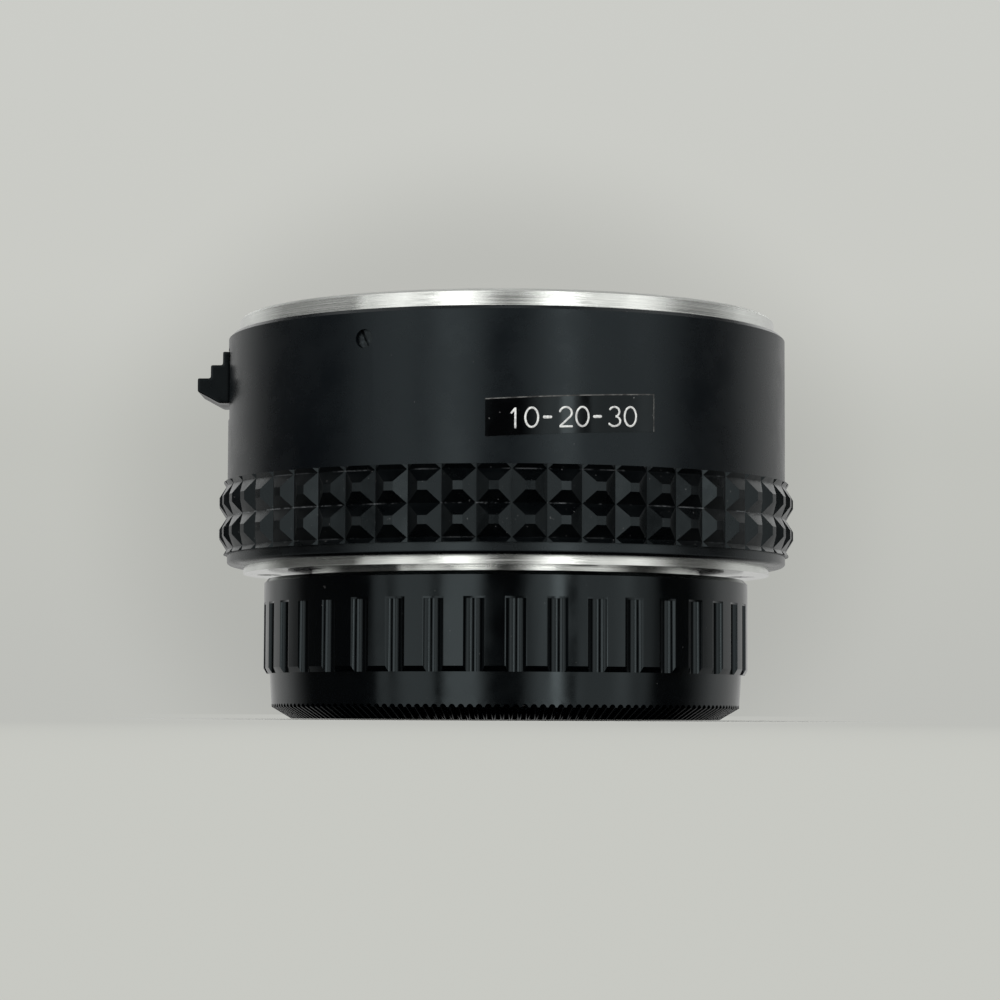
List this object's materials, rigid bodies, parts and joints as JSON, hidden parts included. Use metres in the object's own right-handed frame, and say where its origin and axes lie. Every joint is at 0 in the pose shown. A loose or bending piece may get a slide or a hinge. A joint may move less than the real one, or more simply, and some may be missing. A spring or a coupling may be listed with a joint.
{
  "type": "camera teleconverter",
  "caption": "Camera teleconverter with female and male bayonet mounts, waffle rubber grip, lens release slider and a fluted rear cap",
  "frame": {"origin": "on the optical axis, at the flat face under the rear cap that the part stands on", "axes": "+Z runs along the optical axis from the cap to the front (lens side) mount. The release slider is on the -X side, and -Y faces the viewer of the picture"},
  "size_m": [0.0668, 0.0644, 0.0457],
  "materials": {
    "black_anodised": "satin black anodised aluminium",
    "black_painted_metal": "matte black paint on aluminium",
    "chrome_plate": "turned and chromed brass",
    "chrome_plate_rear": "turned and chromed brass",
    "screw_steel": "plated steel",
    "spring_steel": "spring steel",
    "black_screw": "blackened steel",
    "red_paint": "red enamel in a recess",
    "grip_rubber": "moulded black rubber",
    "black_housing": "black painted aluminium",
    "coated_glass": "coated optical glass",
    "inner_glass": "optical glass",
    "bright_steel": "brushed steel",
    "lever_brass": "brass",
    "slider_plastic": "black plastic",
    "cap_plastic": "gloss black plastic"
  },
  "bodies": {
    "barrel": {"main_barrel": "black_anodised", "front_mount_base": "black_painted_metal", "front_mount_ring": "chrome_plate", "front_mount_screws": "screw_steel", "bayonet_leaf_spring": "spring_steel", "barrel_set_screws": "black_screw", "front_index_dot": "red_paint", "grip_ring": "grip_rubber", "rear_housing": "black_housing", "rear_mount_ring": "chrome_plate_rear", "rear_mount_screws": "screw_steel", "rear_index_dot": "red_paint", "lens_cell": "black_painted_metal", "front_retaining_ring": "black_painted_metal", "front_element": "coated_glass", "second_element": "inner_glass", "third_element": "inner_glass", "element_spacer": "black_painted_metal", "fourth_element": "inner_glass", "rear_spacer": "black_painted_metal", "rear_element": "coated_glass", "rear_retaining_ring": "black_painted_metal", "rear_baffle": "black_painted_metal", "baffle_screws": "screw_steel", "ring_circlip": "spring_steel", "lock_pin_spring": "spring_steel"},
    "aperture_coupler": {"aperture_coupler_ring": "bright_steel"},
    "aperture_lever": {"aperture_lever_ring": "lever_brass", "lever_return_spring": "spring_steel"},
    "lens_release": {"release_slider": "slider_plastic", "slide_plate": "bright_steel", "slide_screws": "screw_steel", "lock_pin": "bright_steel"},
    "cap": {"rear_cap": "cap_plastic"}
  },
  "joints": [
    {"name": "lens_release_slide", "type": "slide", "parent": "barrel", "child": "lens_release", "axis": [0, 0, -1], "range_m": [0, 0.0016], "stiffness_N_per_m": 400, "springref_m": -0.001, "deforming": ["lock_pin_spring"]},
    {"name": "aperture_coupler_turn", "type": "hinge", "parent": "barrel", "child": "aperture_coupler", "pos_m": [0, 0, 0.029], "axis": [0, 0, 1], "range_deg": [0, 60]},
    {"name": "aperture_lever_turn", "type": "hinge", "parent": "barrel", "child": "aperture_lever", "pos_m": [0, 0, 0.027], "axis": [0, 0, 1], "range_deg": [0, 14], "stiffness_Nm_per_rad": 0.02, "springref_deg": -17.19},
    {"name": "rear_cap_twist", "type": "hinge", "parent": "barrel", "child": "cap", "pos_m": [0, 0, 0.008], "axis": [0, 0, 1], "range_deg": [0, 60]}
  ]
}
